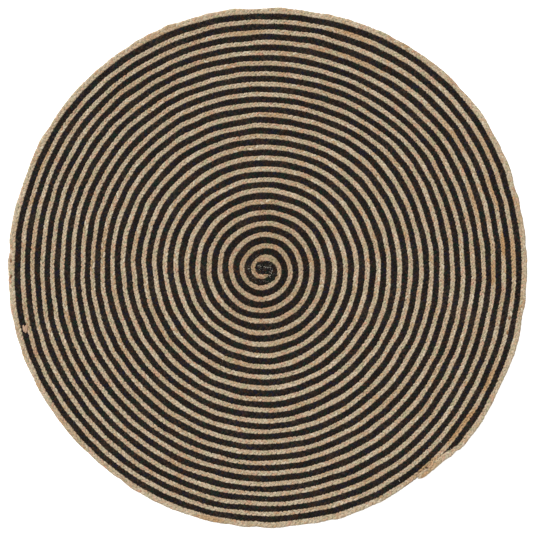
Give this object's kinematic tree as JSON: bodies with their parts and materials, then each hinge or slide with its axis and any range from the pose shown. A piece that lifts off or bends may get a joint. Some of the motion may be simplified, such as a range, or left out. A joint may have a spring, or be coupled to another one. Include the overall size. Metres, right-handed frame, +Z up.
{
  "type": "round jute rug",
  "caption": "Round flat rug of two narrow braids, natural and black, coiled side by side into one spiral.",
  "frame": {"origin": "on the floor under the middle of the rug's bounding box", "axes": "+Z up, out of the rug's top face; +X and +Y lie in the floor, +X towards the right and +Y towards the top of the rug as the picture shows it"},
  "size_m": [1.1968, 1.1996, 0.009],
  "materials": {
    "jute_natural": "undyed straw-coloured jute plait, matt and hairy",
    "jute_dyed_black": "jute plait dyed black, matt and hairy"
  },
  "bodies": {
    "root": {"natural_braid": "jute_natural", "black_braid": "jute_dyed_black"}
  },
  "joints": []
}
